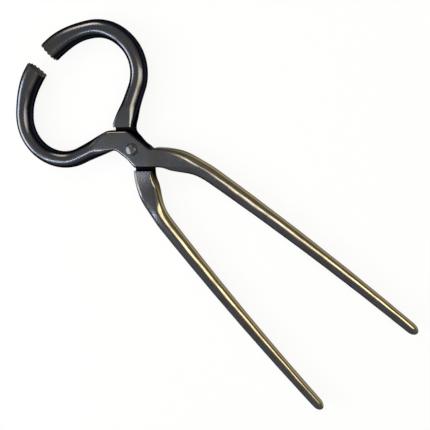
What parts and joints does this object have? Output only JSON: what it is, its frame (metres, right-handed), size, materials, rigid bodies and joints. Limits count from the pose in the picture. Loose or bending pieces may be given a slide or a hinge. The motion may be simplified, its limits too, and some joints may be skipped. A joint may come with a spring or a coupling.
{
  "type": "hoof tester",
  "caption": "Long-handled steel pincer with open bowed jaws and checkered tips, hinged on a lapped, riveted joint, for pressing on a hoof.",
  "frame": {"origin": "on the rivet's axis, in the plane of the joint block's back face, on which the tool lies", "axes": "+Z along the rivet's axis towards its head, +Y from the rivet to the jaws, +X to the right seen from the head's side"},
  "size_m": [0.1248, 0.3584, 0.0163],
  "materials": {
    "lever_steel": "dark polished forging, satin on the joint block",
    "rivet_steel": "dark satin, hammered head"
  },
  "bodies": {
    "rear_half": {"rear_lever": "lever_steel", "pivot_rivet": "rivet_steel"},
    "front_half": {"front_lever": "lever_steel"}
  },
  "joints": [
    {"name": "pivot", "type": "hinge", "parent": "rear_half", "child": "front_half", "pos_m": [0, 0, 0.007], "axis": [0, 0, 1], "range_deg": [-9.2, 79]}
  ]
}
